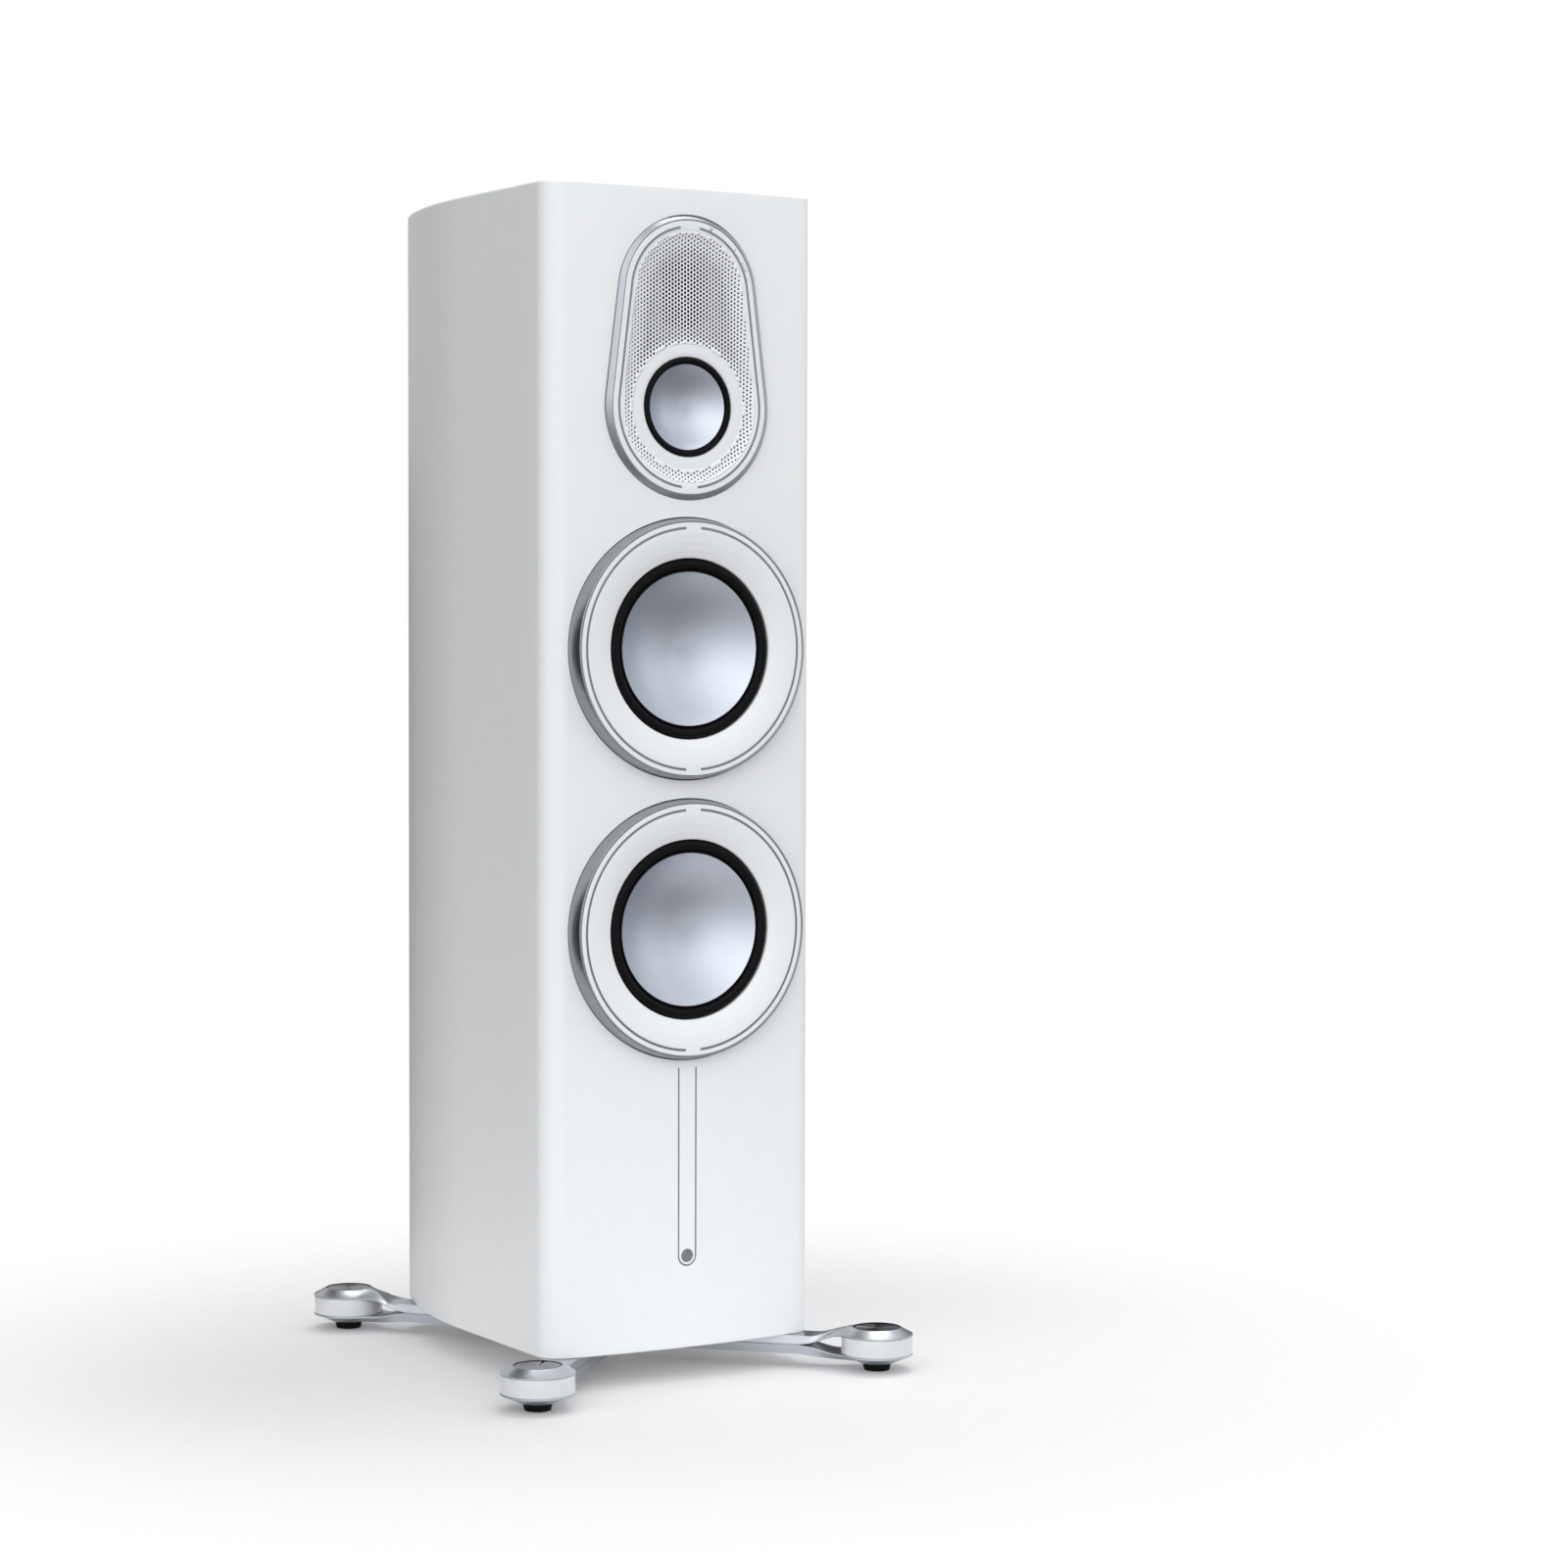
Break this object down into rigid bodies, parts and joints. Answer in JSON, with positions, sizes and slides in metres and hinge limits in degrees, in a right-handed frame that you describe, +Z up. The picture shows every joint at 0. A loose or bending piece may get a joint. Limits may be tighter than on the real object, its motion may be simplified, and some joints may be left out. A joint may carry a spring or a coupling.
{
  "type": "floorstanding speaker",
  "caption": "Tall three-way loudspeaker with a convex front, sprung cones that travel, rear ports, cable terminals and outrigger feet that level by screw.",
  "frame": {"origin": "on the floor, at the middle of the box around the whole speaker", "axes": "+Z up, the drivers face -Y, +X to the right seen from the front"},
  "size_m": [0.3946, 0.4736, 1.017],
  "materials": {
    "lacquer": "satin white lacquer on fibreboard",
    "bare_board": "raw fibreboard",
    "trim_white": "satin white moulding",
    "mesh": "white painted perforated sheet",
    "silver": "satin anodised, spun on round faces",
    "inlay": "dark brushed",
    "cone": "satin anodised cone",
    "rubber": "matt black",
    "frame_black": "black powder coat on castings",
    "magnet": "dark ferrite",
    "steel": "zinc plated",
    "copper": "enamelled copper wire",
    "cloth": "resin treated cloth",
    "film": "pleated film with etched conductor",
    "board": "glass epoxy circuit board",
    "components": "film capacitors and wound coils",
    "black_plastic": "fine texture black moulding",
    "terminal_metal": "plated brass"
  },
  "bodies": {
    "root": {"cabinet_wrap": "lacquer", "front_baffle": "lacquer", "top_panel": "lacquer", "base_panel": "lacquer", "braces": "bare_board", "mid_chamber": "bare_board", "front_inlay": "inlay", "badge_disc": "inlay", "bass_magnets": "magnet", "bass_yokes": "steel", "tie_rods": "steel", "ring_inlays": "inlay", "mid_ring": "trim_white", "mid_basket": "frame_black", "mid_motor": "steel", "mid_surround": "rubber", "mid_spider": "cloth", "plate_bezel": "silver", "plate_face": "trim_white", "mesh_grille": "mesh", "tweeter_housing": "black_plastic", "tweeter_diaphragm": "film", "tweeter_magnets": "magnet", "crossover_board": "board", "crossover_parts": "components", "port_tubes": "black_plastic", "terminal_tray": "black_plastic", "terminal_posts": "terminal_metal", "upper_arms": "silver", "lower_arms": "silver", "pucks": "trim_white", "arm_bolts": "steel", "upper_bass_bezel": "silver", "upper_bass_face": "trim_white", "upper_bass_basket": "frame_black", "upper_bass_surround": "rubber", "upper_bass_spider": "cloth", "lower_bass_bezel": "silver", "lower_bass_face": "trim_white", "lower_bass_basket": "frame_black", "lower_bass_surround": "rubber", "lower_bass_spider": "cloth"},
    "upper_bass_moving": {"upper_bass_cone": "cone", "upper_bass_coil": "copper"},
    "lower_bass_moving": {"lower_bass_cone": "cone", "lower_bass_coil": "copper"},
    "mid_moving": {"mid_cone": "cone", "mid_coil": "copper"},
    "left_washer": {"left_washer": "terminal_metal"},
    "left_knob": {"left_knob": "terminal_metal"},
    "right_washer": {"right_washer": "terminal_metal"},
    "right_knob": {"right_knob": "terminal_metal"},
    "front_left_adjuster": {"front_left_adjuster": "silver"},
    "front_left_pad": {"front_left_pad": "rubber"},
    "front_right_adjuster": {"front_right_adjuster": "silver"},
    "front_right_pad": {"front_right_pad": "rubber"},
    "rear_left_adjuster": {"rear_left_adjuster": "silver"},
    "rear_left_pad": {"rear_left_pad": "rubber"},
    "rear_right_adjuster": {"rear_right_adjuster": "silver"},
    "rear_right_pad": {"rear_right_pad": "rubber"}
  },
  "joints": [
    {"name": "upper_bass_travel", "type": "slide", "parent": "root", "child": "upper_bass_moving", "axis": [0, -1, 0], "range_m": [-0.005, 0.005], "stiffness_N_per_m": 1200, "deforming": ["upper_bass_surround", "upper_bass_spider"]},
    {"name": "lower_bass_travel", "type": "slide", "parent": "root", "child": "lower_bass_moving", "axis": [0, -1, 0], "range_m": [-0.005, 0.005], "stiffness_N_per_m": 1200, "deforming": ["lower_bass_surround", "lower_bass_spider"]},
    {"name": "mid_travel", "type": "slide", "parent": "root", "child": "mid_moving", "axis": [0, -1, 0], "range_m": [-0.0015, 0.0015], "stiffness_N_per_m": 1500, "deforming": ["mid_surround", "mid_spider"]},
    {"name": "left_clamp_travel", "type": "slide", "parent": "root", "child": "left_washer", "axis": [0, 1, 0], "range_m": [0, 0.006]},
    {"name": "left_knob_turn", "type": "hinge", "parent": "left_washer", "child": "left_knob", "pos_m": [-0.019, 0.205, 0.13], "axis": [0, 1, 0], "range_deg": [0, 2160]},
    {"name": "right_clamp_travel", "type": "slide", "parent": "root", "child": "right_washer", "axis": [0, 1, 0], "range_m": [0, 0.006]},
    {"name": "right_knob_turn", "type": "hinge", "parent": "right_washer", "child": "right_knob", "pos_m": [0.019, 0.205, 0.13], "axis": [0, 1, 0], "range_deg": [0, 2160]},
    {"name": "front_left_adjuster_turn", "type": "hinge", "parent": "root", "child": "front_left_adjuster", "pos_m": [-0.166, -0.2055, 0.02], "axis": [0, 0, 1], "range_deg": [0, 1440]},
    {"name": "front_left_pad_travel", "type": "slide", "parent": "root", "child": "front_left_pad", "axis": [0, 0, -1], "range_m": [0, 0.008]},
    {"name": "front_right_adjuster_turn", "type": "hinge", "parent": "root", "child": "front_right_adjuster", "pos_m": [0.166, -0.2055, 0.02], "axis": [0, 0, 1], "range_deg": [0, 1440]},
    {"name": "front_right_pad_travel", "type": "slide", "parent": "root", "child": "front_right_pad", "axis": [0, 0, -1], "range_m": [0, 0.008]},
    {"name": "rear_left_adjuster_turn", "type": "hinge", "parent": "root", "child": "rear_left_adjuster", "pos_m": [-0.148, 0.2055, 0.02], "axis": [0, 0, 1], "range_deg": [0, 1440]},
    {"name": "rear_left_pad_travel", "type": "slide", "parent": "root", "child": "rear_left_pad", "axis": [0, 0, -1], "range_m": [0, 0.008]},
    {"name": "rear_right_adjuster_turn", "type": "hinge", "parent": "root", "child": "rear_right_adjuster", "pos_m": [0.148, 0.2055, 0.02], "axis": [0, 0, 1], "range_deg": [0, 1440]},
    {"name": "rear_right_pad_travel", "type": "slide", "parent": "root", "child": "rear_right_pad", "axis": [0, 0, -1], "range_m": [0, 0.008]}
  ],
  "couplings": [
    {"joint": "left_knob_turn", "follows": "left_clamp_travel", "rad_per_m": 6283.2},
    {"joint": "right_knob_turn", "follows": "right_clamp_travel", "rad_per_m": 6283.2},
    {"joint": "front_left_adjuster_turn", "follows": "front_left_pad_travel", "rad_per_m": 3141.6},
    {"joint": "front_right_adjuster_turn", "follows": "front_right_pad_travel", "rad_per_m": 3141.6},
    {"joint": "rear_left_adjuster_turn", "follows": "rear_left_pad_travel", "rad_per_m": 3141.6},
    {"joint": "rear_right_adjuster_turn", "follows": "rear_right_pad_travel", "rad_per_m": 3141.6}
  ]
}
